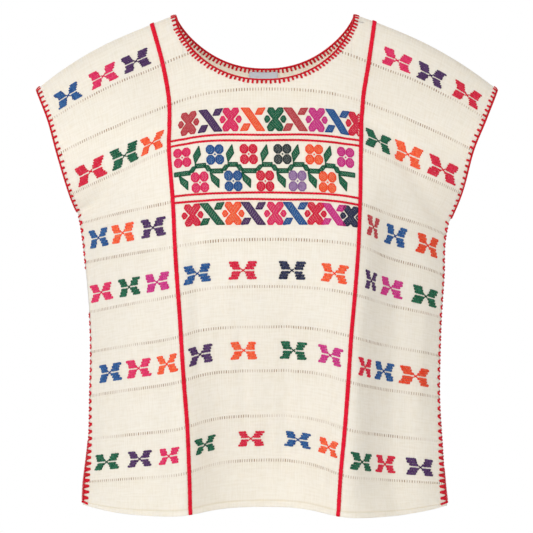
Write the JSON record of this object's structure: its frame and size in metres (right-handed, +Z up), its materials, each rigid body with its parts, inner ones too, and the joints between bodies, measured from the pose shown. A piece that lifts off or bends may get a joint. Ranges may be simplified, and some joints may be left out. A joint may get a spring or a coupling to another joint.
{
  "type": "huipil blouse",
  "caption": "Short handwoven blouse of three joined panels with an oval neck, open cap sleeves and woven motifs, in the hollow form it has when worn.",
  "frame": {"origin": "midway between the two neck points, on top of the wearer's shoulders", "axes": "+Z up, -Y out of the front, +X to the right of a viewer who faces the front"},
  "size_m": [0.6112, 0.2566, 0.6506],
  "materials": {
    "cloth": "matte handwoven cotton with openwork lines",
    "red_thread": "satin stitch with a soft sheen",
    "label": "smooth woven label, blank",
    "thread_blue": "blue weaving and embroidery thread",
    "thread_pink": "pink weaving and embroidery thread",
    "thread_crimson": "crimson weaving and embroidery thread",
    "thread_magenta": "magenta weaving and embroidery thread",
    "thread_orange": "orange weaving and embroidery thread",
    "thread_green": "green weaving and embroidery thread",
    "thread_purple": "purple weaving and embroidery thread",
    "thread_navy": "navy weaving and embroidery thread",
    "thread_charcoal": "charcoal weaving and embroidery thread",
    "thread_lilac": "lilac weaving and embroidery thread",
    "thread_dusty_red": "dusty red weaving and embroidery thread"
  },
  "bodies": {
    "root": {"panel_centre": "cloth", "panel_left": "cloth", "panel_right": "cloth", "seam_left": "red_thread", "seam_right": "red_thread", "side_seam_left": "red_thread", "side_seam_right": "red_thread", "armhole_edging_left": "red_thread", "armhole_edging_right": "red_thread", "neck_edging": "red_thread", "neck_label": "label"}
  },
  "joints": []
}
